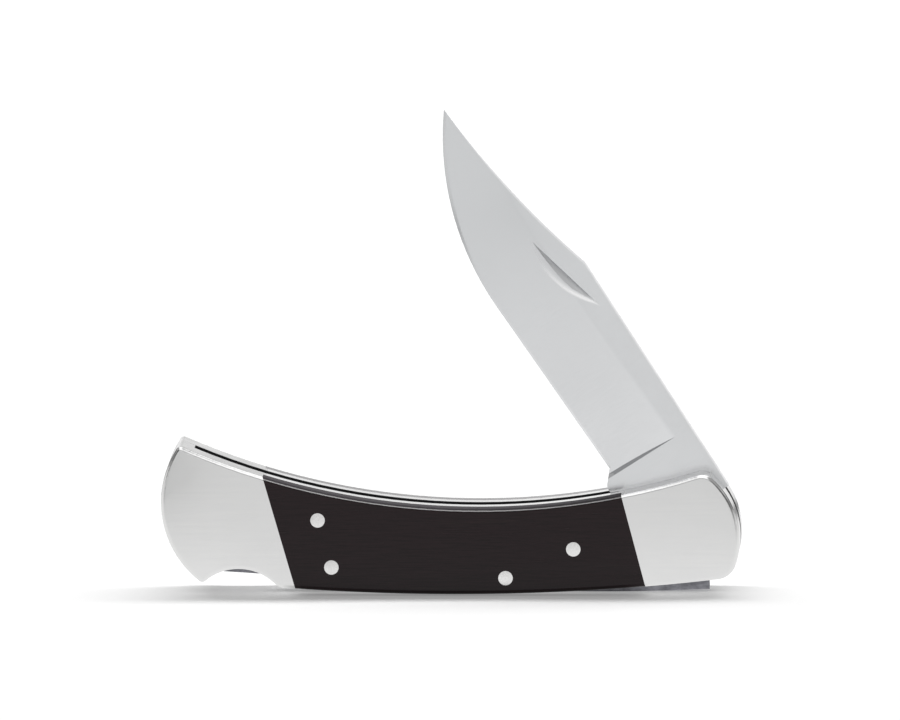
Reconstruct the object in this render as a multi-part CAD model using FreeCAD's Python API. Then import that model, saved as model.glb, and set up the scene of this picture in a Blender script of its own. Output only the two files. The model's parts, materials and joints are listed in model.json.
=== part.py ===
import FreeCAD, Part
import math
import os

Vector = FreeCAD.Vector
ORIGIN = Vector(0, 0, 0)
ACROSS = Vector(0, 1, 0)

# Lock-back folding knife standing on its spine with the blade half open.
# X runs forward along the handle, Y across it and Z up. Lengths are in millimetres, angles in degrees.
# Heights are measured from the lowest point of the handle's spine.

# Handle outline, seen from the side
handle_length = 124.0
handle_thickness = 16.0
rim_round = 0.85
butt_radius = 21.7
butt_centre_height = 19.75
nose_radius = 17.6
nose_centre_height = 12.0
top_radius = 157.0
waist_height = 18.55
waist_lead = 6.0
spine_radius = 490.0
spine_low_lead = 1.0
thumb_notch_radius = 11.1
thumb_notch_height = 5.45
thumb_notch_setback = 5.2
butt_corner_round = 1.0
hook_round = 1.0
notch_end_round = 2.5
nose_top_round = 3.5
nose_bottom_round = 4.5

# Frames and inlays: each frame is two bolsters joined by a web, with the inlay in the pocket between
web_thickness = 2.8
rear_bolster_length = 29.05
rear_bolster_slant = 15.8
front_bolster_length = 19.8
front_bolster_slant = 14.45

# Blade: leads run from the pivot towards the tip, offsets from the pivot line to the back or the edge
blade_thickness = 3.05
blade_length = 103.95
blade_back_offset = 11.44
tip_back_offset = 3.97
shoulder_lead = 2.95
clip_lead = 59.85
clip_sagitta = 1.36
edge_heel_lead = 19.6
edge_heel_offset = 8.18
edge_slope = 1.95
belly_radius = 64.5
kick_lead = 16.4
kick_offset = 10.9
kick_round = 2.0
tang_radius = 8.5
tang_leave_angle = 68.0
blade_rest_angle = 122.45
blade_open_angle = 6.4

# Blade grinds: hollow, sharpened edge, swedge along the clip, nail nick on the near face
plunge_lead = 18.0
plunge_slant = 29.0
grind_height = 15.7
grind_wheel_radius = 110.0
grind_turn_lead = 74.0
grind_turn_radius = 40.0
grind_turn_angle = 65.0
edge_thickness = 0.4
bevel_width = 0.45
bevel_edge_thickness = 0.06
swedge_radius = 82.0
swedge_width = 1.2
swedge_depth = 0.12
swedge_end_lead = 88.0
nick_lead = 60.95
nick_back_offset = 6.78
nick_slope = 13.9
nick_length = 20.8
nick_width = 2.2
nick_depth = 0.8
nick_middle_share = 0.27

# Pivot of the blade, measured back from the front end of the handle
pivot_setback = 10.65
pivot_height = 14.0
pivot_pin_radius = 2.0
bushing_wall = 0.97

# Lock bar: rocks on its pin, its tooth drops into the notch of the tang when the blade is open
lock_pin_distance = 39.55
lock_pin_height = 3.6
lock_bar_height = 3.4
lock_boss_wall = 1.15
lock_tail_setback = 10.5
lock_tail_round = 1.2
lock_back_round = 0.3
lock_pad_height = 0.1
lock_pad_length = 13.0
lock_pad_ramp = 1.8
lock_notch_floor = 5.95
lock_notch_rear = 3.1

# Butt spacer, its rivets and the leaf spring that it holds
spacer_length = 7.0
spacer_foot_height = 7.0
butt_rivet_radius = 1.25
upper_rivet_height = 26.0
lower_rivet_height = 10.0
spring_thickness = 0.9
spring_seat_height = 14.0
spring_seat_depth = 2.5
spring_bearing_share = 0.66
spring_bow = 0.8

# Inlay pins
inlay_pin_radius = 1.55
inlay_pin_crown = 0.12
rear_pin_lead = 9.1
rear_upper_pin_height = 16.1
rear_lower_pin_height = 5.9
front_pin_setback = 13.3
front_pin_height = 9.85

# Clearances, and how far a cutting shape runs past what it cuts
side_clearance = 0.075
running_clearance = 0.03
lock_clearance = 0.1
ride_gap = 0.12
spring_gap = 0.05
overrun = 5.0

# Edges count as one place when they lie within this share of the rounding that is sought there
match_share = 0.001

# Places that follow from the sizes above
front_end = handle_length / 2
rear_end = -handle_length / 2
half_thickness = handle_thickness / 2
half_gap = blade_thickness / 2 + side_clearance
butt_centre = Vector(rear_end + butt_radius, 0, butt_centre_height)
nose_centre = Vector(front_end - nose_radius, 0, nose_centre_height)
top_centre = Vector(waist_lead, 0, waist_height + top_radius)
spine_centre = Vector(spine_low_lead, 0, spine_radius)
notch_centre = Vector(butt_centre.x - thumb_notch_setback, 0, thumb_notch_height - thumb_notch_radius)
pivot = Vector(front_end - pivot_setback, 0, pivot_height)
lock_pin = Vector(pivot.x - lock_pin_distance, 0, lock_pin_height)
spacer_front = rear_end + spacer_length

# The tooth rides on the round of the tang, which tips the bar's nose out of the spine
ride_lift = tang_radius + ride_gap - lock_notch_floor - lock_clearance
ride_angle = math.degrees(math.asin(ride_lift / lock_pin_distance))


def turned(point, angle):
    """The point swung about the origin, from X towards Z for a positive angle."""
    turn = math.radians(angle)
    across = point.x * math.cos(turn) - point.z * math.sin(turn)
    up = point.x * math.sin(turn) + point.z * math.cos(turn)
    return Vector(across, 0, up)


# Centre of the bar's back when it rides, and how far the bar then stands below the spine
ride_centre = lock_pin + turned(spine_centre - lock_pin, -ride_angle)
stand_lift = max(0.0, spine_radius - ride_centre.z)


def circle_meet(centre_a, radius_a, centre_b, radius_b, side):
    """Where two circles cross: side 1 lies left of the way from centre a to centre b, side -1 right."""
    way = centre_b - centre_a
    distance = way.Length
    along = (distance ** 2 + radius_a ** 2 - radius_b ** 2) / (2 * distance)
    away = math.sqrt(radius_a ** 2 - along ** 2)
    unit = way / distance
    return centre_a + unit * along + turned(unit, 90) * (side * away)


def circle_through(start, end, radius, side):
    """Centre of a circle through two points: side 1 lies left of the way from start to end."""
    half = (end - start) / 2
    away = math.sqrt(radius ** 2 - half.Length ** 2)
    return start + half + turned(half / half.Length, 90) * (side * away)


def line(start, end):
    return Part.LineSegment(start, end).toShape()


def arc(centre, start, end):
    """Edge from start to end round the centre, the short way."""
    middle = (start - centre) + (end - centre)
    middle.normalize()
    return Part.Arc(start, centre + middle * (start - centre).Length, end).toShape()


def closed_lines(points):
    return [line(points[i - 1], points[i]) for i in range(len(points))]


def prism(edges, low_y, high_y):
    """Solid between two heights across the knife, from edges drawn in the XZ plane."""
    face = Part.Face(Part.Wire(Part.__sortEdges__(edges)))
    face.translate(Vector(0, low_y, 0))
    return face.extrude(Vector(0, high_y - low_y, 0))


def round_corner(solid, corner, radius):
    """Round the edge that crosses the knife at this corner of its outline."""
    near = []
    for edge in solid.Edges:
        first, last = edge.Vertexes[0].Point, edge.Vertexes[-1].Point
        if abs(first.x - last.x) + abs(first.z - last.z) < match_share * radius:
            near.append((math.hypot(first.x - corner.x, first.z - corner.z), edge))
    near.sort(key=lambda item: item[0])
    return solid.makeFillet(radius, [near[0][1]])


def cross_rod(place, radius, low_y, high_y):
    return Part.makeCylinder(radius, high_y - low_y, Vector(place.x, low_y, place.z), ACROSS)


def spine_height(lead, drop):
    """Height of the arc that lies this far inside the spine."""
    return spine_centre.z - math.sqrt((spine_radius - drop) ** 2 - (lead - spine_centre.x) ** 2)


def handle_slab(low_y, high_y):
    """Slab of the handle's side outline with its corners rounded."""
    butt_top = circle_meet(butt_centre, butt_radius, top_centre, top_radius, 1)
    hook = circle_meet(butt_centre, butt_radius, notch_centre, thumb_notch_radius, -1)
    notch_end = circle_meet(notch_centre, thumb_notch_radius, spine_centre, spine_radius, -1)
    nose_bottom = circle_meet(nose_centre, nose_radius, spine_centre, spine_radius, -1)
    nose_top = circle_meet(nose_centre, nose_radius, top_centre, top_radius, -1)
    slab = prism([
        arc(butt_centre, butt_top, hook),
        arc(notch_centre, hook, notch_end),
        arc(spine_centre, notch_end, nose_bottom),
        arc(nose_centre, nose_bottom, nose_top),
        arc(top_centre, nose_top, butt_top),
    ], low_y, high_y)
    slab = round_corner(slab, butt_top, butt_corner_round)
    slab = round_corner(slab, hook, hook_round)
    slab = round_corner(slab, notch_end, notch_end_round)
    slab = round_corner(slab, nose_bottom, nose_bottom_round)
    return round_corner(slab, nose_top, nose_top_round)


def handle_half(side):
    """One side of the handle, bolsters and inlay still one piece."""
    inner = side * half_gap
    outer = side * half_thickness
    return handle_slab(min(inner, outer), max(inner, outer))


def rim_rounded(solid, side):
    """The solid with its outer rim rounded along the handle's outline, which is arcs all the way."""
    outer = side * half_thickness
    near = match_share * rim_round
    rim = []
    for edge in solid.Edges:
        away = abs(edge.BoundBox.YMin - outer) + abs(edge.BoundBox.YMax - outer)
        if away < near and hasattr(edge.Curve, "Radius"):
            rim.append(edge)
    return solid.makeFillet(rim_round, rim)


def rear_line(height):
    """Lead of the slanted joint between rear bolster and inlay at a height."""
    return rear_end + rear_bolster_length - height * math.tan(math.radians(rear_bolster_slant))


def front_line(height):
    return front_end - front_bolster_length - height * math.tan(math.radians(front_bolster_slant))


def inlay_pocket(side):
    """The space between the bolsters, outside the web."""
    floor = side * (half_gap + web_thickness)
    outside = side * (half_thickness + overrun)
    low = -overrun
    high = butt_centre_height + butt_radius + overrun
    corners = [(rear_line(low), low), (front_line(low), low),
               (front_line(high), high), (rear_line(high), high)]
    outline = closed_lines([Vector(lead, 0, height) for lead, height in corners])
    return prism(outline, min(floor, outside), max(floor, outside))


inlay_pin_places = {
    "rear_upper": Vector(rear_line(rear_upper_pin_height) + rear_pin_lead, 0, rear_upper_pin_height),
    "rear_lower": Vector(rear_line(rear_lower_pin_height) + rear_pin_lead, 0, rear_lower_pin_height),
    "front": Vector(front_line(front_pin_height) - front_pin_setback, 0, front_pin_height),
}


def rivet_place(height):
    """A butt rivet stands midway between the butt's round and the spacer's front face."""
    back = butt_centre.x - math.sqrt(butt_radius ** 2 - (height - butt_centre.z) ** 2)
    return Vector((back + spacer_front) / 2, 0, height)


rivet_places = {"upper": rivet_place(upper_rivet_height), "lower": rivet_place(lower_rivet_height)}


def pin_hole(place, radius):
    return cross_rod(place, radius, -half_thickness - overrun, half_thickness + overrun)


def bored(solid):
    """The solid with every pin and rivet hole of the handle bored through it."""
    holes = [pin_hole(place, inlay_pin_radius) for place in inlay_pin_places.values()]
    holes += [pin_hole(place, butt_rivet_radius) for place in rivet_places.values()]
    holes.append(pin_hole(lock_pin, inlay_pin_radius))
    holes.append(pin_hole(pivot, pivot_pin_radius))
    return solid.cut(holes)


def rim_splined(solid):
    """The solid with all but its flat faces as splines, which mesh evenly round the long thin rim."""
    faces = []
    for face in solid.Faces:
        faces += [face] if isinstance(face.Surface, Part.Plane) else face.toNurbs().Faces
    shell = Part.makeShell(faces)
    shell.sewShape()
    return Part.makeSolid(shell)


def smooth_half(slab, side):
    """A frame or an inlay: the slab with its rim rounded, and bored for the pins and rivets."""
    return bored(rim_splined(rim_rounded(slab, side)))


def handle_frame(side):
    return smooth_half(handle_half(side).cut(inlay_pocket(side)), side)


def handle_inlay(side):
    """The slab between the bolsters."""
    return smooth_half(handle_half(side).common(inlay_pocket(side)), side)


def crowned(rod, place, side):
    """The rod with its outer end, which stands proud of the inlay, turned to a low crown."""
    crown_radius = (inlay_pin_radius ** 2 + inlay_pin_crown ** 2) / (2 * inlay_pin_crown)
    deep = half_thickness + inlay_pin_crown - crown_radius
    ball = Part.makeSphere(crown_radius, Vector(place.x, side * deep, place.z))
    reach = cross_rod(place, inlay_pin_radius, -half_thickness, half_thickness)
    return rod.common(ball.fuse(reach).removeSplitter())


def inlay_pin(place, side):
    inner = side * half_gap
    outer = side * (half_thickness + inlay_pin_crown)
    return crowned(cross_rod(place, inlay_pin_radius, min(inner, outer), max(inner, outer)), place, side)


def lock_bar_pin():
    reach = half_thickness + inlay_pin_crown
    half_near = crowned(cross_rod(lock_pin, inlay_pin_radius, -reach, 0), lock_pin, -1)
    half_far = crowned(cross_rod(lock_pin, inlay_pin_radius, 0, reach), lock_pin, 1)
    return half_near.fuse(half_far).removeSplitter()


# Blade, drawn with its pivot at the origin, its tip along +X and its edge towards +Z
edge_way = turned(Vector(1, 0, 0), edge_slope)
edge_inward = turned(edge_way, -90)
edge_heel = Vector(edge_heel_lead, 0, edge_heel_offset)
blade_tip = Vector(blade_length, 0, -tip_back_offset)
clip_corner = Vector(clip_lead, 0, -blade_back_offset)
tip_depth = (blade_tip - edge_heel).dot(edge_inward)
belly_run = math.sqrt(2 * belly_radius * tip_depth - tip_depth ** 2)
belly_start = edge_heel + edge_way * ((blade_tip - edge_heel).dot(edge_way) - belly_run)
belly_centre = belly_start + edge_inward * belly_radius
clip_half = (blade_tip - clip_corner).Length / 2
clip_radius = (clip_half ** 2 + clip_sagitta ** 2) / (2 * clip_sagitta)
clip_centre = circle_through(clip_corner, blade_tip, clip_radius, -1)


def blade_blank():
    """Full thickness blank: back, clip, belly, edge, kick, and the tang with its lock notch."""
    leave = turned(Vector(tang_radius, 0, 0), tang_leave_angle)
    heel_of_tang = Vector(-tang_radius, 0, 0)
    notch_lip = Vector(-lock_notch_rear, 0, -math.sqrt(tang_radius ** 2 - lock_notch_rear ** 2))
    notch_back = Vector(-lock_notch_rear, 0, -lock_notch_floor)
    notch_front = Vector(shoulder_lead, 0, -lock_notch_floor)
    shoulder = Vector(shoulder_lead, 0, -blade_back_offset)
    kick = Vector(kick_lead, 0, kick_offset)
    blank = prism([
        line(shoulder, clip_corner),
        arc(clip_centre, clip_corner, blade_tip),
        arc(belly_centre, blade_tip, belly_start),
        line(belly_start, edge_heel),
        line(edge_heel, kick),
        line(kick, leave),
        arc(ORIGIN, leave, heel_of_tang),
        arc(ORIGIN, heel_of_tang, notch_lip),
        line(notch_lip, notch_back),
        line(notch_back, notch_front),
        line(notch_front, shoulder),
    ], -blade_thickness / 2, blade_thickness / 2)
    return round_corner(blank, kick, kick_round)


def swept_cut(profile, start, straight_run, turn_radius, turn_angle):
    """Sweep a profile of (inward, across) points along the edge, then on round a tangent turn."""
    def face_at(base):
        points = [base + edge_inward * inward + ACROSS * across for inward, across in profile["points"]]
        edges = [line(points[i], points[i + 1]) for i in range(len(points) - 1)]
        if profile["middle"]:
            inward, across = profile["middle"]
            middle = base + edge_inward * inward + ACROSS * across
            edges.append(Part.Arc(points[-1], middle, points[0]).toShape())
        else:
            edges.append(line(points[-1], points[0]))
        return Part.Face(Part.Wire(edges))
    turn_start = start + edge_way * straight_run
    straight = face_at(start).extrude(edge_way * straight_run)
    turn = face_at(turn_start).revolve(turn_start + edge_inward * turn_radius, ACROSS, turn_angle)
    return [straight, turn]


def hollow_grind(side):
    """What the grinding wheel takes off one face, from the plunge to the tip."""
    face = blade_thickness / 2
    root = edge_thickness / 2
    chord = math.hypot(grind_height, face - root)
    sagitta = grind_wheel_radius - math.sqrt(grind_wheel_radius ** 2 - (chord / 2) ** 2)
    profile = {
        "points": [(grind_height, side * face), (grind_height, side * (face + overrun)),
                   (-overrun, side * (face + overrun)), (-overrun, side * root), (0, side * root)],
        "middle": (grind_height / 2, side * ((face + root) / 2 - sagitta)),
    }
    ahead = edge_heel_lead - plunge_lead + overrun
    start = edge_heel - edge_way * ahead
    straight_run = grind_turn_lead - edge_heel_lead + ahead
    pieces = swept_cut(profile, start, straight_run, grind_turn_radius, grind_turn_angle)
    slope = math.tan(math.radians(plunge_slant))
    ramp = [(plunge_lead - overrun * slope, face + overrun), (plunge_lead + face * slope, 0),
            (blade_length + overrun, 0), (blade_length + overrun, face + overrun)]
    ramp_wire = Part.makePolygon([Vector(lead, side * across, -blade_back_offset - overrun)
                                  for lead, across in ramp + ramp[:1]])
    reach = blade_back_offset + kick_offset + overrun * 2
    keep = Part.Face(ramp_wire).extrude(Vector(0, 0, reach))
    return [piece.common(keep) for piece in pieces]


def sharpened_bevel(side):
    """The narrow bevel along the cutting edge."""
    rise = (edge_thickness - bevel_edge_thickness) / 2 / bevel_width
    root = bevel_edge_thickness / 2
    face = blade_thickness / 2 + overrun
    profile = {
        "points": [(-root / rise, 0), ((face - root) / rise, side * face),
                   (-overrun, side * face), (-overrun, 0)],
        "middle": None,
    }
    straight_run = (belly_start - edge_heel).Length
    return swept_cut(profile, edge_heel, straight_run, belly_radius, grind_turn_angle)


def clip_swedge(side):
    """A shallow cone cut that thins the back along the clip."""
    face = blade_thickness / 2
    start = clip_corner + Vector(0, 0, swedge_width)
    end_height = clip_centre.z + math.sqrt(clip_radius ** 2 - (swedge_end_lead - clip_centre.x) ** 2)
    end = Vector(swedge_end_lead, 0, end_height)
    centre = circle_through(start, end, swedge_radius, -1)
    inner_radius = swedge_radius - swedge_width
    outer_radius = swedge_radius + swedge_width
    base = centre + ACROSS * (side * (face - swedge_depth))
    return Part.makeCone(inner_radius, outer_radius, swedge_depth * 2, base, ACROSS * side)


def nail_nick():
    """Crescent cut in the near face, steep along its straight side and running out at its round one."""
    cutter_radius = ((nick_length / 2) ** 2 + nick_depth ** 2) / (2 * nick_depth)
    middle = Vector(nick_lead, 0, -nick_back_offset)
    away = turned(turned(Vector(1, 0, 0), nick_slope), 90)
    base = middle - ACROSS * (blade_thickness / 2 + cutter_radius - nick_depth)
    end = base + away * nick_width
    wall = base - ACROSS * cutter_radius
    lip = end - ACROSS * (cutter_radius - nick_depth)
    floor = base + away * (nick_width / 2) - ACROSS * (cutter_radius - nick_depth * (1 - nick_middle_share))
    profile = [line(base, wall), Part.Arc(wall, floor, lip).toShape(), line(lip, end), line(end, base)]
    return Part.Face(Part.Wire(profile)).revolve(base, away, 360)


def blade():
    """The finished blade at its half open place."""
    hole = cross_rod(ORIGIN, pivot_pin_radius + bushing_wall + running_clearance, -overrun, overrun)
    cuts = [hole, nail_nick()]
    for side in (-1, 1):
        cuts += hollow_grind(side)
        cuts += sharpened_bevel(side)
        cuts.append(clip_swedge(side))
    shape = blade_blank()
    for cut in cuts:
        shape = shape.cut(cut)
    shape.rotate(ORIGIN, ACROSS, -blade_rest_angle)
    shape.translate(pivot)
    return shape


def at_open(lead, offset):
    """Place in the handle of a point of the blade when the blade is fully open."""
    return pivot + turned(Vector(lead, 0, offset), blade_open_angle)


def lock_bar():
    """Rocking bar drawn as it lies when the blade is open, then tipped to where the tang holds it."""
    low, high = -blade_thickness / 2, blade_thickness / 2
    tail = rear_end + lock_tail_setback
    nose = pivot.x + blade_back_offset
    back_tail = Vector(tail, 0, spine_height(tail, 0))
    back_nose = Vector(nose, 0, spine_height(nose, 0))
    top_tail = Vector(tail, 0, spine_height(tail, lock_bar_height))
    top_nose = Vector(nose, 0, spine_height(nose, lock_bar_height))
    arms = prism([arc(spine_centre, back_tail, back_nose), line(back_nose, top_nose),
                  arc(spine_centre, top_nose, top_tail), line(top_tail, back_tail)], low, high)
    hole_radius = inlay_pin_radius + running_clearance
    boss = cross_rod(lock_pin, hole_radius + lock_boss_wall, low, high)
    tooth_back = -lock_notch_rear + lock_clearance
    tooth_front = shoulder_lead - lock_clearance
    tooth_top = -lock_notch_floor - lock_clearance
    tooth_foot = -blade_back_offset + lock_bar_height / 2
    tooth_corners = [at_open(tooth_back, tooth_top), at_open(tooth_front, tooth_top),
                     at_open(tooth_front, tooth_foot), at_open(tooth_back, tooth_foot)]
    tooth = prism(closed_lines(tooth_corners), low, high)
    pad_end = tail + lock_pad_length
    ramp_end = pad_end + lock_pad_ramp
    pad = prism(closed_lines([Vector(tail, 0, lock_pad_height), Vector(pad_end, 0, lock_pad_height),
                              Vector(ramp_end, 0, spine_height(ramp_end, 0)),
                              Vector(ramp_end, 0, spine_height(ramp_end, lock_bar_height / 2)),
                              Vector(tail, 0, spine_height(tail, lock_bar_height / 2))]), low, high)
    beyond = [at_open(tooth_front, overrun), at_open(tooth_front, -blade_back_offset - overrun),
              at_open(blade_back_offset + overrun, -blade_back_offset - overrun),
              at_open(blade_back_offset + overrun, overrun)]
    bar = arms.fuse([boss, tooth, pad]).removeSplitter()
    bar = bar.cut([prism(closed_lines(beyond), low - overrun, high + overrun),
                   cross_rod(lock_pin, hole_radius, low - overrun, high + overrun)])
    bar = round_corner(bar, Vector(tail, 0, lock_pad_height), lock_tail_round)
    bar = round_corner(bar, top_tail, lock_tail_round)
    back_edges = [edge for edge in bar.Edges
                  if abs(getattr(edge.Curve, "Radius", 0) - spine_radius) < match_share * lock_back_round]
    bar = bar.makeFillet(lock_back_round, back_edges)
    bar.rotate(lock_pin, ACROSS, ride_angle)
    return bar


def lock_spring_edges():
    """Side view of the leaf: from its seat in the spacer, bowed, down to the tail of the lock bar."""
    tip_lead = lock_pin.x - spring_bearing_share * (lock_pin.x - spacer_front)
    ride_top = math.sqrt((spine_radius - lock_bar_height) ** 2 - (tip_lead - ride_centre.x) ** 2)
    tip = Vector(tip_lead, 0, ride_centre.z - ride_top + spring_gap)
    root = Vector(spacer_front - spring_seat_depth, 0, spring_seat_height)
    half = (tip - root).Length / 2
    radius = (half ** 2 + spring_bow ** 2) / (2 * spring_bow)
    centre = circle_through(root, tip, radius, -1)
    root_top = centre + (root - centre) * (1 + spring_thickness / radius)
    tip_top = centre + (tip - centre) * (1 + spring_thickness / radius)
    return [arc(centre, root, tip), line(tip, tip_top), arc(centre, tip_top, root_top), line(root_top, root)]


def lock_spring():
    return prism(lock_spring_edges(), -blade_thickness / 2, blade_thickness / 2)


def butt_spacer():
    """Spacer between the frames at the butt, with a seat for the spring and two rivet holes."""
    low, high = -half_gap, half_gap
    room = Part.makeBox(spacer_length + overrun, high - low + overrun * 2,
                        butt_centre_height + butt_radius - spacer_foot_height,
                        Vector(rear_end - overrun, low - overrun, spacer_foot_height))
    seat = prism(lock_spring_edges(), low - overrun, high + overrun)
    return bored(handle_slab(low, high).common(room)).cut(seat)


def blade_pivot_pin():
    return cross_rod(pivot, pivot_pin_radius, -half_thickness, half_thickness)


def blade_pivot_bushing():
    sleeve = cross_rod(pivot, pivot_pin_radius + bushing_wall, -half_gap, half_gap)
    return sleeve.cut(pin_hole(pivot, pivot_pin_radius))


def butt_rivet(place):
    return cross_rod(place, butt_rivet_radius, -half_thickness, half_thickness)


nodes = {
    "blade": blade(),
    "lock_bar": lock_bar(),
    "lock_spring": lock_spring(),
    "butt_spacer": butt_spacer(),
    "lock_bar_pin": lock_bar_pin(),
    "blade_pivot_pin": blade_pivot_pin(),
    "blade_pivot_bushing": blade_pivot_bushing(),
}
for name, place in rivet_places.items():
    nodes[name + "_butt_rivet"] = butt_rivet(place)
for name, side in (("near", -1), ("far", 1)):
    nodes[name + "_frame"] = handle_frame(side)
    nodes[name + "_inlay"] = handle_inlay(side)
    for pin_name, place in inlay_pin_places.items():
        nodes[name + "_" + pin_name + "_inlay_pin"] = inlay_pin(place, side)

os.makedirs("parts", exist_ok=True)
for name, shape in nodes.items():
    shape.translate(Vector(0, 0, stand_lift))
    shape.exportStep("parts/" + name + ".step")
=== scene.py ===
"""Looks of a lock-back folding knife that stands on its spine with the blade half open."""
import json
import math

import bpy
from bpy.props import FloatProperty, FloatVectorProperty, PointerProperty
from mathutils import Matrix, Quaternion, Vector

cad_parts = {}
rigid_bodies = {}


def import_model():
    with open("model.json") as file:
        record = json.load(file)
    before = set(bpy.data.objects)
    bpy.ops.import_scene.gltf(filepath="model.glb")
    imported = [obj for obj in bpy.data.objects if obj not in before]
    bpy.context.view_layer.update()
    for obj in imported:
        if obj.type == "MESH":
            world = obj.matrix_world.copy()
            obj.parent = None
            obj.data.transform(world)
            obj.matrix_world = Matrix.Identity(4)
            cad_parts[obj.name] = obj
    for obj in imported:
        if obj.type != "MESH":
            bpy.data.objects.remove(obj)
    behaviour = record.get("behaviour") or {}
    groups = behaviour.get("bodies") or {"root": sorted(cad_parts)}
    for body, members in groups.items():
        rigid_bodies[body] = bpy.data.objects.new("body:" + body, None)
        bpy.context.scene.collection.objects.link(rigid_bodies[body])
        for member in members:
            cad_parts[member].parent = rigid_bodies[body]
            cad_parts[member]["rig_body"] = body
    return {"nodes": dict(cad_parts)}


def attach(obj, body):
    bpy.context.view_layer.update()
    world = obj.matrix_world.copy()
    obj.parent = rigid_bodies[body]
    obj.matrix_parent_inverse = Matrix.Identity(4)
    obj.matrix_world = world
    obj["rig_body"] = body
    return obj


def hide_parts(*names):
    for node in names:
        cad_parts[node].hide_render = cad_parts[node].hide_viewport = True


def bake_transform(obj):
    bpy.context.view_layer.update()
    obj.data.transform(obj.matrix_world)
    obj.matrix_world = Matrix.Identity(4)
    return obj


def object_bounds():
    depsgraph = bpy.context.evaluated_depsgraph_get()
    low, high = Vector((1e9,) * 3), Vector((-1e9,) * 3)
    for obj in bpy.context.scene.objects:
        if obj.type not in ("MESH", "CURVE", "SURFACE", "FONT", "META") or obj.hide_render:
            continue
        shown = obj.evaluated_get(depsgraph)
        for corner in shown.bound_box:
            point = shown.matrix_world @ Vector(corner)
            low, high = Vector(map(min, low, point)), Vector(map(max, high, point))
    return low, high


bl_info = {
    "name": "Folding knife looks",
    "version": (1, 0, 0),
    "blender": (4, 5, 0),
    "location": "View3D > Sidebar > Knife",
    "description": "Dresses the packed folding knife and sets up its studio",
    "category": "Object",
}

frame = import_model()
CAD_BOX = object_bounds()
NODES = frame["nodes"]

FRAME_NODES = ("near_frame", "far_frame")
FLUSH_NODES = ("butt_spacer", "upper_butt_rivet", "lower_butt_rivet", "blade_pivot_pin")
INLAY_NODES = ("near_inlay", "far_inlay")
PIN_NODES = tuple(name for name in NODES if name.endswith("_inlay_pin")) + ("lock_bar_pin",)

# Lengths and places are in metres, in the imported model's frame.

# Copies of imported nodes: how near points merge, which angles count as flat and as sharp, and how
# much more a large face counts than a small one in the shading of a corner
MERGE_DISTANCE = 1e-6
FLAT_ANGLE = math.radians(0.05)
SHARP_ANGLE = math.radians(35)
FACE_WEIGHT = 100

# A Mix node's sockets by what it mixes: share, first, second and result
MIX_SOCKETS = {"RGBA": (0, 6, 7, 2), "FLOAT": (0, 2, 3, 0)}

# Noises: detail, roughness and, where there is a third number, distortion
STROKE_NOISE = (4.0, 0.6)
CLOUD_NOISE = (1.0, 0.4)
WEAR_NOISE = (3.0, 0.5)
STREAK_NOISE = (5.0, 0.62, 0.4)
PORE_NOISE = (3.0, 0.6)

# Brushing of the metals: lines to the metre along, across and down the turned piece
BOLSTER_STROKES = (70, 900, 1500)
BLADE_STROKES = (5200, 3000, 240)
LOCK_STROKES = (900, 1400, 1400)
BUSHING_STROKES = (1500, 5200, 1500)
PIN_STROKES = (2600, 2600, 2600)
# Where the brushing passes from dark to light, and how deep and strong its relief is
STROKE_STOPS = (0.25, 0.75)
STROKE_DEPTH = 0.00002
STROKE_STRENGTH = 0.05
# Blotches of the metals: how many to the metre, how dark, and where they pass from dark to clean
METAL_CLOUDS = (45, 0.96)
BLADE_CLOUDS = (38, 0.95)
LOCK_CLOUDS = (420, 0.7)
CLOUD_STOPS = (0.35, 0.65)
# Uneven gloss of the metals: patches to the metre, the noise that it follows, and how far it goes
WEAR_SCALE = (300, 300, 300)
WEAR_STOPS = (0.3, 0.7)
WEAR_SPREAD = 0.03

# The web between the bolsters: how far it reaches along the knife, and from where to where across
WEB_REACH = (-0.0395, 0.0372)
WEB_DEPTH = (0.00161, 0.00441)
WEB_SOFT = 0.00002
# The painted shade in the slot behind the blade: its reach along the knife, and half its width
# with the shaded edges
SLOT_REACH = (-0.055, 0.036)
SLOT_DEPTH = 0.0019
# The front bolsters' top, which gets a painted highlight: its reach along the knife, and how far
# it faces up
CROWN_REACH = (0.0372, 0.0595)
CROWN_RISE = (0.75, 0.92)

# Ebony: streaks and pores to the metre along, across and down, and where their noises pass from
# dark to light
STREAKS = (22, 420, 520)
STREAK_STOPS = (0.35, 0.62, 0.80)
PORES = (160, 2600, 3600)
PORE_STOPS = (0.30, 0.55)
PORE_GREY = 0.55
PORE_DEPTH = 0.00004
PORE_STRENGTH = 0.25
# Gloss of the ebony: the streaks that it follows, how far it goes, and how strongly it reflects
GLOSS_STOPS = (0.3, 0.7)
GLOSS_SPREAD = 0.06
WOOD_SPECULAR = 0.215
# How far a wood surface faces up where the inlay's rounded edge gets a painted highlight; above
# it is the top
EDGE_RISE = (0.36, 0.58)
EDGE_SOFT = 0.05

# The blade at rest: how far its line is turned up from the knife's length, and its pivot
BLADE_TURN = math.radians(122.45)
PIVOT_PLACE = (0.05135, 0.0, 0.014326)
# How far from the pivot the painted shade that darkens the blade towards its tip starts and
# stops, and how much
TIP_SHADE_REACH = (0.030, 0.080)
TIP_SHADE_SHARE = 0.8
# How far from the middle plane the steel passes from the hollow grind to the flats, and how much
# darker those are
FLAT_DEPTH = (0.00140, 0.00151)
FLAT_SHARE = 0.3
# The nail nick: the middle of its straight side, its slope, half its length, its width, and how
# far its mask reaches to the near side
NICK_PLACE = (0.02437, 0.0, 0.0694)
NICK_TURN = math.radians(136.35)
NICK_REACH = 0.0104
NICK_WIDTH = 0.0030
NICK_FACE = 0.002
NICK_SOFT = 0.00005
# From the nick's straight side at 0 to its round side at 1: where its painted shade fades, and
# where its lip gets a painted highlight
NICK_FADE = (0.30, 0.95)
NICK_LIP = (0.68, 0.98)
NICK_LIP_SOFT = 0.1
NICK_LIP_SHARE = 0.9

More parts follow.
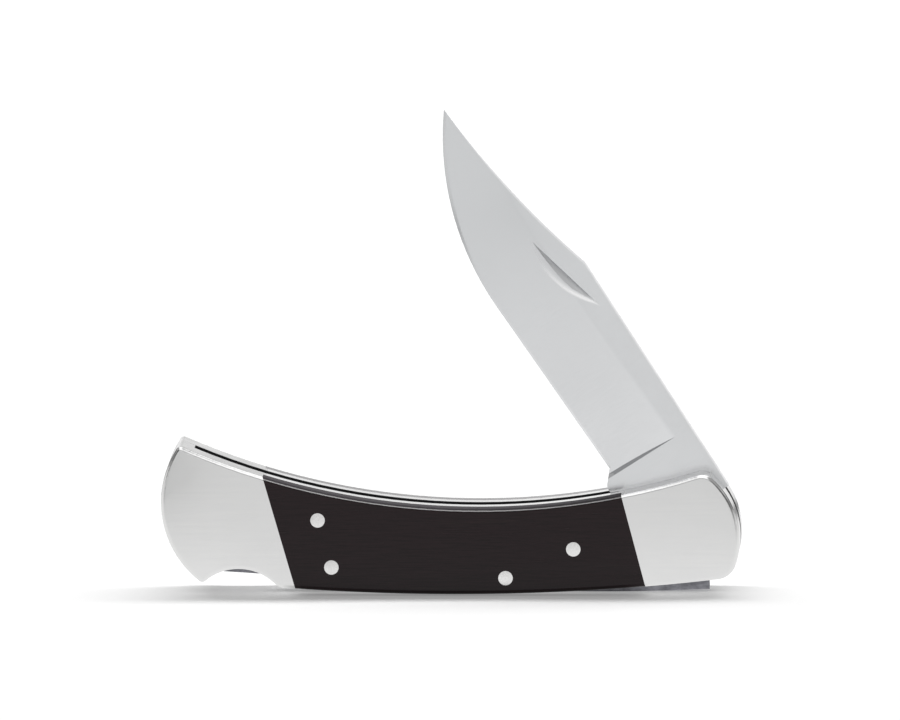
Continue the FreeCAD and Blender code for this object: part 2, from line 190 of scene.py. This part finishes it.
# The camera's sensor in millimetres, and how near and far the camera sees
SENSOR_WIDTH = 36.0
CLIP_RANGE = (0.01, 100.0)
FLOOR_CELLS = 8
# How bright metal sees the studio: by the sine of a direction's height, then by its lean to a side
SKY_STOPS = ((0.0, 1.0), (0.16, 1.0), (0.24, 0.28), (0.38, 0.28), (0.48, 1.2), (0.62, 1.6))
FLAG_STOPS = ((0.0, 1.0), (0.30, 1.0), (0.46, 0.30), (0.80, 0.30), (0.90, 1.0))
# How bright metal sees the floor, by the distance before or behind the knife
FLOOR_SPAN = 0.5
NEAR_STOPS = ((0.0, 1.11), (0.035, 1.09), (0.09, 1.0), (0.17, 0.92), (0.30, 0.96), (0.5, 1.0))
# The dark flags on the floor: brightness by the distance to a side, and their reach from the knife
SIDE_STOPS = ((0.0, 1.0), (0.060, 1.0), (0.088, 0.12), (0.150, 0.12), (0.175, 1.0))
FLAG_REACH = (0.145, 0.225)
FLAG_SOFT = 0.012
# The shade that metal sees on the floor close under the inlays: its reach along, half its depth
SHADE_REACH = (-0.034, 0.040)
SHADE_DEPTH = 0.0135
SHADE_SOFT = 0.0025
SHADE_GREY = 0.30


def colour(label, text, default):
    return FloatVectorProperty(name=label, description=text, subtype="COLOR", size=3,
                               min=0, max=1, default=default)


def factor(label, text, default):
    return FloatProperty(name=label, description=text, subtype="FACTOR", min=0, max=1,
                         default=default)


def length(label, text, default):
    return FloatProperty(name=label, description=text, unit="LENGTH", default=default)


def angle(label, text, default):
    return FloatProperty(name=label, description=text, subtype="ANGLE",
                         default=math.radians(default))


class KnifeFinish(bpy.types.PropertyGroup):
    """Colours and finishes of the knife's pieces."""
    bolster_light: colour("Bolster light", "Nickel silver where it is cleanest",
                          (0.69, 0.69, 0.685))
    bolster_dark: colour("Bolster dark", "Nickel silver in the brushing", (0.67, 0.67, 0.67))
    bolster_roughness: factor("Bolster roughness", "Roughness of the bolsters", 0.17)
    # Polished web edges, also painted near white: a painted highlight
    web_highlight: colour("Web light", "Polished edges of the web between the bolsters",
                      (0.94, 0.94, 0.94))
    web_roughness: factor("Web roughness", "Roughness of the web's edges", 0.16)
    # The front bolsters' top is painted near white: a painted highlight
    crown_highlight: colour("Crown light", "Polished top of the front bolsters", (0.98, 0.98, 0.98))
    crown_roughness: factor("Crown roughness", "Roughness of the front bolsters' top", 0.30)
    # Near black inside the slot and on its edges: painted shade
    slot_shade: colour("Inside dark", "Unpolished metal inside the blade's slot",
                        (0.045, 0.045, 0.047))
    inside_roughness: factor("Inside roughness", "Roughness inside the blade's slot", 0.6)
    wood_dark: colour("Wood dark", "Ground colour of the ebony", (0.0190, 0.0085, 0.0105))
    wood_light: colour("Wood light", "Streaks of the ebony", (0.036, 0.019, 0.019))
    wood_roughness: factor("Wood roughness", "Roughness of the oiled wood", 0.24)
    # The pale band on the inlays' upper rounded edges is a painted highlight
    wood_rim_highlight: colour("Wood edge", "Ebony where its rounded edge is rubbed pale",
                      (0.72, 0.71, 0.715))
    wood_top: colour("Wood top", "Ebony on the narrow top of the near inlay, greyed by sanding",
                     (0.062, 0.057, 0.062))
    wood_sanded: factor("Wood sanded", "Roughness of the near inlay's sanded top", 0.75)
    # The far inlay's top is painted lighter than the near one: a painted sheen
    wood_far_top_sheen: colour("Wood far top", "Ebony on the narrow top of the far inlay",
                         (0.14, 0.135, 0.14))
    wood_waxed: factor("Wood waxed", "Roughness of the far inlay's waxed top", 0.12)
    blade_light: colour("Blade light", "Blade steel where it is cleanest", (0.745, 0.752, 0.762))
    blade_dark: colour("Blade dark", "Blade steel in the brushing", (0.71, 0.717, 0.727))
    # Darker towards the tip is painted shade; the flats are darker too
    blade_flats_and_tip_shade: colour("Blade worn", "Duller steel on the flats and towards the tip",
                       (0.59, 0.60, 0.61))
    blade_roughness: factor("Blade roughness", "Roughness of the satin blade", 0.22)
    # The nick's lip is painted near white: a painted highlight, strongest at one end
    nick_highlight: colour("Nick light", "Polished lip of the nail nick", (0.96, 0.96, 0.96))
    # Darker deep in the nick: painted shade
    nick_shade: colour("Nick dark", "Unpolished steel deep in the nail nick",
                      (0.66, 0.665, 0.675))
    nick_roughness: factor("Nick roughness", "Roughness deep in the nail nick", 0.5)
    lock_light: colour("Lock light", "Lock steel where it is polished", (0.26, 0.262, 0.285))
    lock_dark: colour("Lock dark", "Lock steel in the brushing", (0.12, 0.12, 0.135))
    lock_roughness: factor("Lock roughness", "Roughness of the lock bar, spring and bushing", 0.34)
    pin_light: colour("Pin light", "Pin heads where they are polished", (0.80, 0.795, 0.785))
    pin_dark: colour("Pin dark", "Pin heads in the polishing marks", (0.66, 0.655, 0.65))
    pin_roughness: factor("Pin roughness", "Roughness of the pin heads", 0.28)
    bronze_light: colour("Bronze light", "Bushing bronze where it is polished", (0.72, 0.46, 0.24))
    bronze_dark: colour("Bronze dark", "Bushing bronze in the turning marks", (0.52, 0.31, 0.15))


class KnifeStage(bpy.types.PropertyGroup):
    """The studio that the knife stands in."""
    azimuth: angle("Azimuth", "Camera's turn round the knife", 2.69)
    elevation: angle("Elevation", "Camera's height above the horizon", 8.64)
    roll: angle("Roll", "Camera's lean to one side", 0.404)
    view_width: length("View width", "Width of the picture at the knife", 0.19247)
    lens: FloatProperty(name="Lens", description="Focal length of the long lens", unit="CAMERA",
                        default=1000.0)
    aim_lead: length("Aim lead", "Place along the knife that the camera looks at", 0.00024)
    aim_height: length("Aim height", "Height that the camera looks at", 0.0512)
    floor_size: length("Floor size", "Side of the pale floor", 24.0)
    floor_colour: colour("Floor colour", "Colour of the pale floor", (0.80, 0.80, 0.80))
    floor_lift: factor("Floor lift", "Glow that brings the lit floor to white", 0.24)
    sky_strength: factor("Sky strength", "Light from all round", 0.20)
    lamp_power: FloatProperty(name="Lamp power", unit="POWER", default=305.0,
                              description="Power of the long soft lamp overhead")
    lamp_tilt: angle("Lamp tilt", "How far the lamp leans to the back", 17.0)
    lamp_reach: length("Lamp reach", "Distance of the lamp from the knife", 4.8)
    lamp_length: length("Lamp length", "Size of the lamp along the knife", 9.6)
    lamp_width: length("Lamp width", "Size of the lamp across the knife", 1.28)


def grey(level):
    return (level,) * 3


def solid(shade):
    """A colour with full alpha, as node sockets take it."""
    return (*shade, 1.0)


def bare_tree(holder):
    """The emptied node tree of a material or a world."""
    holder.use_nodes = True
    holder.node_tree.nodes.clear()
    return holder.node_tree


def new_material(name):
    """A material with nothing but a principled shader; its tree and that shader come with it."""
    material = bpy.data.materials.new(name)
    tree = bare_tree(material)
    output = tree.nodes.new("ShaderNodeOutputMaterial")
    shader = tree.nodes.new("ShaderNodeBsdfPrincipled")
    tree.links.new(shader.outputs["BSDF"], output.inputs["Surface"])
    return material, tree, shader


def plugged(tree, socket, value):
    """Link a socket, or set a number or a colour on it."""
    if isinstance(value, bpy.types.NodeSocket):
        tree.links.new(value, socket)
    else:
        socket.default_value = value


def mapped(tree, scale=(1, 1, 1), turn=0.0, centre=(0, 0, 0)):
    """Object coordinates about a centre, turned about the cross axis and then stretched."""
    place = tree.nodes.new("ShaderNodeTexCoord")
    move = tree.nodes.new("ShaderNodeMapping")
    move.inputs["Location"].default_value = [-value for value in centre]
    tree.links.new(place.outputs["Object"], move.inputs["Vector"])
    spin = tree.nodes.new("ShaderNodeMapping")
    spin.inputs["Rotation"].default_value = (0, turn, 0)
    tree.links.new(move.outputs["Vector"], spin.inputs["Vector"])
    stretch = tree.nodes.new("ShaderNodeMapping")
    stretch.inputs["Scale"].default_value = scale
    tree.links.new(spin.outputs["Vector"], stretch.inputs["Vector"])
    return stretch.outputs["Vector"]


def parts_of(tree, vector):
    node = tree.nodes.new("ShaderNodeSeparateXYZ")
    tree.links.new(vector, node.inputs[0])
    return node.outputs


def coordinate(tree, kind):
    """The X, Y and Z of one of the Texture Coordinate node's outputs."""
    return parts_of(tree, tree.nodes.new("ShaderNodeTexCoord").outputs[kind])


def noise(tree, vector, detail, roughness, distortion=0.0):
    node = tree.nodes.new("ShaderNodeTexNoise")
    node.inputs["Scale"].default_value = 1.0
    node.inputs["Detail"].default_value = detail
    node.inputs["Roughness"].default_value = roughness
    node.inputs["Distortion"].default_value = distortion
    tree.links.new(vector, node.inputs["Vector"])
    return node.outputs["Fac"]


def ramp(tree, value, stops):
    """A colour ramp over a value, from (place, colour) pairs."""
    node = tree.nodes.new("ShaderNodeValToRGB")
    elements = node.color_ramp.elements
    while len(elements) < len(stops):
        elements.new(0.5)
    for element, (place, shade) in zip(elements, stops):
        element.position = place
        element.color = solid(shade)
    tree.links.new(value, node.inputs["Fac"])
    return node.outputs["Color"]


def spread(tree, value, low, high, to_low, to_high):
    """The value brought from one span to another."""
    node = tree.nodes.new("ShaderNodeMapRange")
    spans = {"From Min": low, "From Max": high, "To Min": to_low, "To Max": to_high}
    for name, number in spans.items():
        node.inputs[name].default_value = number
    tree.links.new(value, node.inputs["Value"])
    return node.outputs["Result"]


def reckoned(tree, operation, *values):
    """A math node over sockets and numbers."""
    node = tree.nodes.new("ShaderNodeMath")
    node.operation = operation
    for socket, value in zip(node.inputs, values):
        plugged(tree, socket, value)
    return node.outputs[0]


def both(tree, first, second):
    """A mask of where two masks overlap."""
    return reckoned(tree, "MULTIPLY", first, second)


def between(tree, value, low, high, soft):
    """1 where the value lies between two limits, else 0, with soft ends."""
    rise = spread(tree, value, low - soft, low + soft, 0.0, 1.0)
    fall = spread(tree, value, high - soft, high + soft, 1.0, 0.0)
    return both(tree, rise, fall)


def blended(tree, share, first, second, mode="MIX", kind="RGBA"):
    """Two colours or numbers mixed, by the share that the second one has."""
    node = tree.nodes.new("ShaderNodeMix")
    node.data_type = kind
    node.blend_type = mode
    *inputs, result = MIX_SOCKETS[kind]
    for index, value in zip(inputs, (share, first, second)):
        plugged(tree, node.inputs[index], value)
    return node.outputs[result]


def bumped(tree, shader, height, depth, strength):
    node = tree.nodes.new("ShaderNodeBump")
    node.inputs["Strength"].default_value = strength
    node.inputs["Distance"].default_value = depth
    tree.links.new(height, node.inputs["Height"])
    tree.links.new(node.outputs["Normal"], shader.inputs["Normal"])


def brushed_metal(name, light, dark, roughness, stroke_scale, turn=0.0,
                  strength=STROKE_STRENGTH, blotches=METAL_CLOUDS):
    """Metal with fine strokes along a turned piece, faint blotches and uneven gloss."""
    material, tree, shader = new_material(name)
    shader.inputs["Metallic"].default_value = 1.0
    cloud_scale, cloud_dark = blotches
    strokes = noise(tree, mapped(tree, stroke_scale, turn), *STROKE_NOISE)
    clouds = noise(tree, mapped(tree, (cloud_scale,) * 3), *CLOUD_NOISE)
    wear = noise(tree, mapped(tree, WEAR_SCALE), *WEAR_NOISE)
    tint = ramp(tree, strokes, list(zip(STROKE_STOPS, (dark, light))))
    cloud = ramp(tree, clouds, list(zip(CLOUD_STOPS, (grey(cloud_dark), grey(1.0)))))
    gloss = spread(tree, wear, *WEAR_STOPS, roughness - WEAR_SPREAD, roughness + WEAR_SPREAD)
    tree.links.new(blended(tree, 1.0, tint, cloud, "MULTIPLY"), shader.inputs["Base Color"])
    tree.links.new(gloss, shader.inputs["Roughness"])
    if strength:
        bumped(tree, shader, strokes, STROKE_DEPTH, strength)
    return material


def relined(material, share, shade, roughness):
    """Give the part of a material that a mask marks another colour and gloss."""
    tree = material.node_tree
    shader = next(node for node in tree.nodes if node.bl_idname == "ShaderNodeBsdfPrincipled")
    tint, gloss = shader.inputs["Base Color"], shader.inputs["Roughness"]
    tree.links.new(blended(tree, share, tint.links[0].from_socket, solid(shade)), tint)
    tree.links.new(blended(tree, share, gloss.links[0].from_socket, roughness, kind="FLOAT"), gloss)


def paint(piece, material):
    """Give a piece the material in place of the one that it came with."""
    piece.data.materials.clear()
    piece.data.materials.append(material)


def dress(names, material):
    """Paint the named nodes."""
    for name in names:
        paint(NODES[name], material)


def select_only(piece):
    bpy.ops.object.select_all(action="DESELECT")
    piece.select_set(True)
    bpy.context.view_layer.objects.active = piece


def smooth_copy(node, name):
    """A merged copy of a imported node, smooth over its roundings, that stands in its place."""
    piece = bpy.data.objects.new(name, NODES[node].data.copy())
    bpy.context.scene.collection.objects.link(piece)
    select_only(piece)
    bpy.ops.mesh.customdata_custom_splitnormals_clear()
    bpy.ops.object.mode_set(mode="EDIT")
    bpy.ops.mesh.select_all(action="SELECT")
    bpy.ops.mesh.remove_doubles(threshold=MERGE_DISTANCE)
    bpy.ops.mesh.dissolve_limited(angle_limit=FLAT_ANGLE)
    bpy.ops.object.mode_set(mode="OBJECT")
    bpy.ops.object.shade_smooth_by_angle(angle=SHARP_ANGLE)
    even = piece.modifiers.new("even_normals", "WEIGHTED_NORMAL")
    even.keep_sharp = True
    even.weight = FACE_WEIGHT
    bpy.ops.object.modifier_apply(modifier=even.name)
    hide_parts(node)
    return piece


class KNIFE_OT_dress_frames(bpy.types.Operator):
    """Brushed nickel silver on the frames and on what is ground flush with them"""
    bl_idname = "knife.dress_frames"
    bl_label = "Dress frames"

    def execute(self, context):
        finish = context.scene.knife_finish
        look = (finish.bolster_light, finish.bolster_dark, finish.bolster_roughness,
                BOLSTER_STROKES)
        dress(FLUSH_NODES, brushed_metal("flush_nickel_silver", *look, strength=0))
        metal = brushed_metal("bolster_nickel_silver", *look, strength=0)
        tree = metal.node_tree
        place = coordinate(tree, "Object")
        depth = reckoned(tree, "ABSOLUTE", place["Y"])
        web = both(tree, between(tree, place["X"], *WEB_REACH, WEB_SOFT),
                   between(tree, depth, *WEB_DEPTH, WEB_SOFT))
        crown = both(tree, between(tree, place["X"], *CROWN_REACH, WEB_SOFT),
                     spread(tree, coordinate(tree, "Normal")["Z"], *CROWN_RISE, 0.0, 1.0))
        inner = between(tree, depth, -WEB_DEPTH[0], WEB_DEPTH[0], WEB_SOFT)
        edges = both(tree, between(tree, place["X"], *SLOT_REACH, WEB_SOFT),
                     between(tree, depth, -SLOT_DEPTH, SLOT_DEPTH, WEB_SOFT))
        inside = reckoned(tree, "MAXIMUM", inner, edges)
        # Painted highlight on the web's edges
        relined(metal, web, finish.web_highlight, finish.web_roughness)
        # Painted highlight on the front bolsters' top
        relined(metal, crown, finish.crown_highlight, finish.crown_roughness)
        # Painted shade inside the slot and on its edges
        relined(metal, inside, finish.slot_shade, finish.inside_roughness)
        dress(FRAME_NODES, metal)
        for side in ("near", "far"):
            bolsters = smooth_copy(side + "_frame", side + "_bolsters")
            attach(bolsters, NODES[side + "_frame"]["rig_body"])
            paint(bolsters, metal)
        return {"FINISHED"}


class KNIFE_OT_dress_inlays(bpy.types.Operator):
    """Oiled ebony with long faint streaks on both inlays"""
    bl_idname = "knife.dress_inlays"
    bl_label = "Dress inlays"

    def execute(self, context):
        finish = context.scene.knife_finish
        material, tree, shader = new_material("inlay_ebony")
        streaks = noise(tree, mapped(tree, STREAKS), *STREAK_NOISE)
        pores = noise(tree, mapped(tree, PORES), *PORE_NOISE)
        shades = (finish.wood_dark, finish.wood_dark, finish.wood_light)
        tint = ramp(tree, streaks, list(zip(STREAK_STOPS, shades)))
        fleck = ramp(tree, pores, list(zip(PORE_STOPS, (grey(PORE_GREY), grey(1.0)))))
        gloss = spread(tree, streaks, *GLOSS_STOPS, finish.wood_roughness + GLOSS_SPREAD,
                       finish.wood_roughness - GLOSS_SPREAD)
        tree.links.new(blended(tree, 1.0, tint, fleck, "MULTIPLY"), shader.inputs["Base Color"])
        tree.links.new(gloss, shader.inputs["Roughness"])
        shader.inputs["Specular IOR Level"].default_value = WOOD_SPECULAR
        bumped(tree, shader, pores, PORE_DEPTH, PORE_STRENGTH)
        rise = coordinate(tree, "Normal")["Z"]
        edge = between(tree, rise, *EDGE_RISE, EDGE_SOFT)
        top = spread(tree, rise, EDGE_RISE[1], EDGE_RISE[1] + EDGE_SOFT, 0.0, 1.0)
        far_side = reckoned(tree, "GREATER_THAN", coordinate(tree, "Object")["Y"], 0.0)
        # Painted highlight on the inlays' upper rounded edges
        relined(material, edge, finish.wood_rim_highlight, finish.wood_roughness)
        relined(material, top, finish.wood_top, finish.wood_sanded)
        # Painted sheen: the far inlay's top is lighter than the near one's
        relined(material, both(tree, top, far_side), finish.wood_far_top_sheen, finish.wood_waxed)
        dress(INLAY_NODES, material)
        return {"FINISHED"}


class KNIFE_OT_dress_blade(bpy.types.Operator):
    """Satin steel, brushed across the blade"""
    bl_idname = "knife.dress_blade"
    bl_label = "Dress blade"

    def execute(self, context):
        finish = context.scene.knife_finish
        steel = brushed_metal("blade_satin_steel", finish.blade_light, finish.blade_dark,
                              finish.blade_roughness, BLADE_STROKES, BLADE_TURN, strength=0,
                              blotches=BLADE_CLOUDS)
        tree = steel.node_tree
        lead = parts_of(tree, mapped(tree, turn=BLADE_TURN, centre=PIVOT_PLACE))["X"]
        # Painted shade: the blade grows darker towards its tip
        shaded = spread(tree, lead, *TIP_SHADE_REACH, 0.0, TIP_SHADE_SHARE)
        place = parts_of(tree, mapped(tree, turn=NICK_TURN, centre=NICK_PLACE))
        depth = reckoned(tree, "ABSOLUTE", place["Y"])
        flat = spread(tree, depth, *FLAT_DEPTH, 0.0, FLAT_SHARE)
        nick = both(tree, between(tree, place["Y"], -NICK_FACE, 0.0, NICK_SOFT),
                    between(tree, place["Z"], 0.0, NICK_WIDTH, NICK_SOFT))
        bow = reckoned(tree, "POWER", reckoned(tree, "DIVIDE", place["X"], NICK_REACH), 2.0)
        out = reckoned(tree, "ADD", bow, reckoned(tree, "DIVIDE", place["Z"], NICK_WIDTH))
        # Painted highlight on the nick's lip, strongest at one end
        lip = both(tree, nick, between(tree, out, *NICK_LIP, NICK_LIP_SOFT))
        lit = spread(tree, place["X"], -NICK_REACH / 2, NICK_REACH / 2, NICK_LIP_SHARE, 0.0)
        # Painted shade deep in the nick, fading towards its round side
        deep = both(tree, nick, spread(tree, out, *NICK_FADE, 1.0, 0.0))
        relined(steel, shaded, finish.blade_flats_and_tip_shade, finish.blade_roughness)
        relined(steel, flat, finish.blade_flats_and_tip_shade, finish.blade_roughness)
        relined(steel, both(tree, lip, lit), finish.nick_highlight, finish.blade_roughness)
        relined(steel, deep, finish.nick_shade, finish.nick_roughness)
        dress(("blade",), steel)
        return {"FINISHED"}


class KNIFE_OT_dress_lock(bpy.types.Operator):
    """Dark steel on the lock bar and its spring, and bronze on the bushing"""
    bl_idname = "knife.dress_lock"
    bl_label = "Dress lock"

    def execute(self, context):
        finish = context.scene.knife_finish
        steel = brushed_metal("lock_dark_steel", finish.lock_light, finish.lock_dark,
                              finish.lock_roughness, LOCK_STROKES, blotches=LOCK_CLOUDS)
        dress(("lock_bar", "lock_spring"), steel)
        leaf = smooth_copy("lock_spring", "lock_leaf")
        paint(leaf, steel)
        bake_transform(leaf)
        bronze = brushed_metal("bushing_bronze", finish.bronze_light, finish.bronze_dark,
                               finish.lock_roughness, BUSHING_STROKES)
        dress(("blade_pivot_bushing",), bronze)
        return {"FINISHED"}


class KNIFE_OT_dress_pins(bpy.types.Operator):
    """Polished nickel silver on the pin heads"""
    bl_idname = "knife.dress_pins"
    bl_label = "Dress pins"

    def execute(self, context):
        finish = context.scene.knife_finish
        metal = brushed_metal("pin_nickel_silver", finish.pin_light, finish.pin_dark,
                              finish.pin_roughness, PIN_STROKES)
        dress(PIN_NODES, metal)
        return {"FINISHED"}


def greys(tree, value, span, stops):
    """Brightness by the size of a value, from (value, brightness) pairs, as a share of the most."""
    top = max(level for place, level in stops)
    share = reckoned(tree, "DIVIDE", reckoned(tree, "ABSOLUTE", value), span)
    return ramp(tree, share, [(place / span, grey(level / top)) for place, level in stops])


def mirrored(path):
    """1 where a glossy or transmission ray arrives, else 0."""
    return reckoned(path.id_data, "MAXIMUM", path.outputs["Is Glossy Ray"],
                    path.outputs["Is Transmission Ray"])


def emitter(tree, kind, strength, tint=solid(grey(1.0))):
    node = tree.nodes.new(kind)
    plugged(tree, node.inputs["Color"], tint)
    plugged(tree, node.inputs["Strength"], strength)
    return node.outputs[0]


def mixed(tree, share, first, second):
    """Two shaders mixed, by the share that the second one has."""
    node = tree.nodes.new("ShaderNodeMixShader")
    for socket, value in zip(node.inputs, (share, first, second)):
        tree.links.new(value, socket)
    return node.outputs[0]


def set_camera(stage):
    """A long lens at the picture's viewing angle."""
    turn, lift = stage.azimuth, stage.elevation
    back = Vector((math.sin(turn) * math.cos(lift), -math.cos(turn) * math.cos(lift),
                   math.sin(lift)))
    data = bpy.data.cameras.new("camera")
    data.sensor_width = SENSOR_WIDTH
    data.lens = stage.lens
    data.clip_start, data.clip_end = CLIP_RANGE
    camera = bpy.data.objects.new("camera", data)
    bpy.context.scene.collection.objects.link(camera)
    distance = stage.view_width * data.lens / data.sensor_width
    aim = Vector((stage.aim_lead, CAD_BOX[0].y, stage.aim_height))
    camera.location = aim + back * distance
    camera.rotation_mode = "QUATERNION"
    lean = Quaternion((0, 0, 1), -stage.roll)
    camera.rotation_quaternion = (-back).to_track_quat("-Z", "Y") @ lean
    bpy.context.scene.camera = camera


def set_world(stage):
    """White to the camera, an even sky for matt surfaces, and a studio with flags for metal."""
    world = bpy.data.worlds.new("studio")
    bpy.context.scene.world = world
    tree = bare_tree(world)
    path = tree.nodes.new("ShaderNodeLightPath")
    way = coordinate(tree, "Generated")
    height = greys(tree, way["Z"], 1.0, SKY_STOPS)
    walls = blended(tree, 1.0, height, greys(tree, way["X"], 1.0, FLAG_STOPS), "MULTIPLY")
    shine = emitter(tree, "ShaderNodeBackground", SKY_STOPS[-1][1], walls)
    even = emitter(tree, "ShaderNodeBackground", stage.sky_strength)
    white = emitter(tree, "ShaderNodeBackground", 1.0)
    seen = mixed(tree, path.outputs["Is Camera Ray"], even, white)
    output = tree.nodes.new("ShaderNodeOutputWorld")
    tree.links.new(mixed(tree, mirrored(path), seen, shine), output.inputs["Surface"])


def set_floor(stage):
    """A pale floor that keeps the shadow; metal sees it brightest near the knife, between flags."""
    bpy.ops.object.select_all(action="DESELECT")
    bpy.ops.mesh.primitive_grid_add(x_subdivisions=FLOOR_CELLS, y_subdivisions=FLOOR_CELLS,
                                    size=stage.floor_size)
    floor = bpy.context.active_object
    floor.name = "floor"
    material = bpy.data.materials.new("floor_white")
    tree = bare_tree(material)
    path = tree.nodes.new("ShaderNodeLightPath")
    place = coordinate(tree, "Object")
    matt = tree.nodes.new("ShaderNodeBsdfDiffuse")
    matt.inputs["Color"].default_value = solid(stage.floor_colour)
    glow = reckoned(tree, "MULTIPLY", path.outputs["Is Camera Ray"], stage.floor_lift)
    seen = tree.nodes.new("ShaderNodeAddShader")
    tree.links.new(matt.outputs[0], seen.inputs[0])
    tree.links.new(emitter(tree, "ShaderNodeEmission", glow), seen.inputs[1])
    near = greys(tree, place["Y"], FLOOR_SPAN, NEAR_STOPS)
    sides = greys(tree, place["X"], FLOOR_SPAN, SIDE_STOPS)
    flag = between(tree, reckoned(tree, "ABSOLUTE", place["Y"]), *FLAG_REACH, FLAG_SOFT)
    under = both(tree, between(tree, place["X"], *SHADE_REACH, SHADE_SOFT),
                 between(tree, place["Y"], -SHADE_DEPTH, SHADE_DEPTH, SHADE_SOFT))
    pale = blended(tree, flag, near, sides, "MULTIPLY")
    pale = blended(tree, under, pale, solid(grey(SHADE_GREY)))
    shine = emitter(tree, "ShaderNodeEmission", NEAR_STOPS[0][1], pale)
    output = tree.nodes.new("ShaderNodeOutputMaterial")
    tree.links.new(mixed(tree, mirrored(path), seen.outputs[0], shine), output.inputs["Surface"])
    floor.data.materials.append(material)


def set_lamp(stage):
    """A long soft lamp that leans over the knife from behind."""
    tilt = stage.lamp_tilt
    data = bpy.data.lights.new("overhead_lamp", "AREA")
    data.energy = stage.lamp_power
    data.shape = "RECTANGLE"
    data.size = stage.lamp_length
    data.size_y = stage.lamp_width
    lamp = bpy.data.objects.new("overhead_lamp", data)
    lamp.location = Vector((0, math.sin(tilt), math.cos(tilt))) * stage.lamp_reach
    lamp.rotation_euler = (-tilt, 0, 0)
    lamp.visible_camera = False
    lamp.visible_glossy = False
    bpy.context.scene.collection.objects.link(lamp)


class KNIFE_OT_set_stage(bpy.types.Operator):
    """Camera, pale floor, sky and a soft lamp overhead"""
    bl_idname = "knife.set_stage"
    bl_label = "Set stage"

    def execute(self, context):
        stage = context.scene.knife_stage
        set_camera(stage)
        set_world(stage)
        set_floor(stage)
        set_lamp(stage)
        context.scene.view_settings.view_transform = "Standard"
        return {"FINISHED"}


class KNIFE_PT_panel(bpy.types.Panel):
    """Lists the knife's operators and settings"""
    bl_idname = "KNIFE_PT_panel"
    bl_label = "Folding knife"
    bl_space_type = "VIEW_3D"
    bl_region_type = "UI"
    bl_category = "Knife"

    def draw(self, context):
        for operator in OPERATORS:
            self.layout.operator(operator.bl_idname)
        for group in (context.scene.knife_finish, context.scene.knife_stage):
            for name in group.__annotations__:
                self.layout.prop(group, name)


GROUPS = (KnifeFinish, KnifeStage)
OPERATORS = (KNIFE_OT_dress_frames, KNIFE_OT_dress_inlays, KNIFE_OT_dress_blade,
             KNIFE_OT_dress_lock, KNIFE_OT_dress_pins, KNIFE_OT_set_stage)


def register():
    for item in (*GROUPS, *OPERATORS, KNIFE_PT_panel):
        bpy.utils.register_class(item)
    bpy.types.Scene.knife_finish = PointerProperty(type=KnifeFinish)
    bpy.types.Scene.knife_stage = PointerProperty(type=KnifeStage)


def unregister():
    del bpy.types.Scene.knife_stage
    del bpy.types.Scene.knife_finish
    for item in (KNIFE_PT_panel, *reversed(OPERATORS), *reversed(GROUPS)):
        bpy.utils.unregister_class(item)


def main():
    register()
    bpy.ops.knife.dress_frames()
    bpy.ops.knife.dress_inlays()
    bpy.ops.knife.dress_blade()
    bpy.ops.knife.dress_lock()
    bpy.ops.knife.dress_pins()
    bpy.ops.knife.set_stage()


if __name__ == "__main__":
    main()
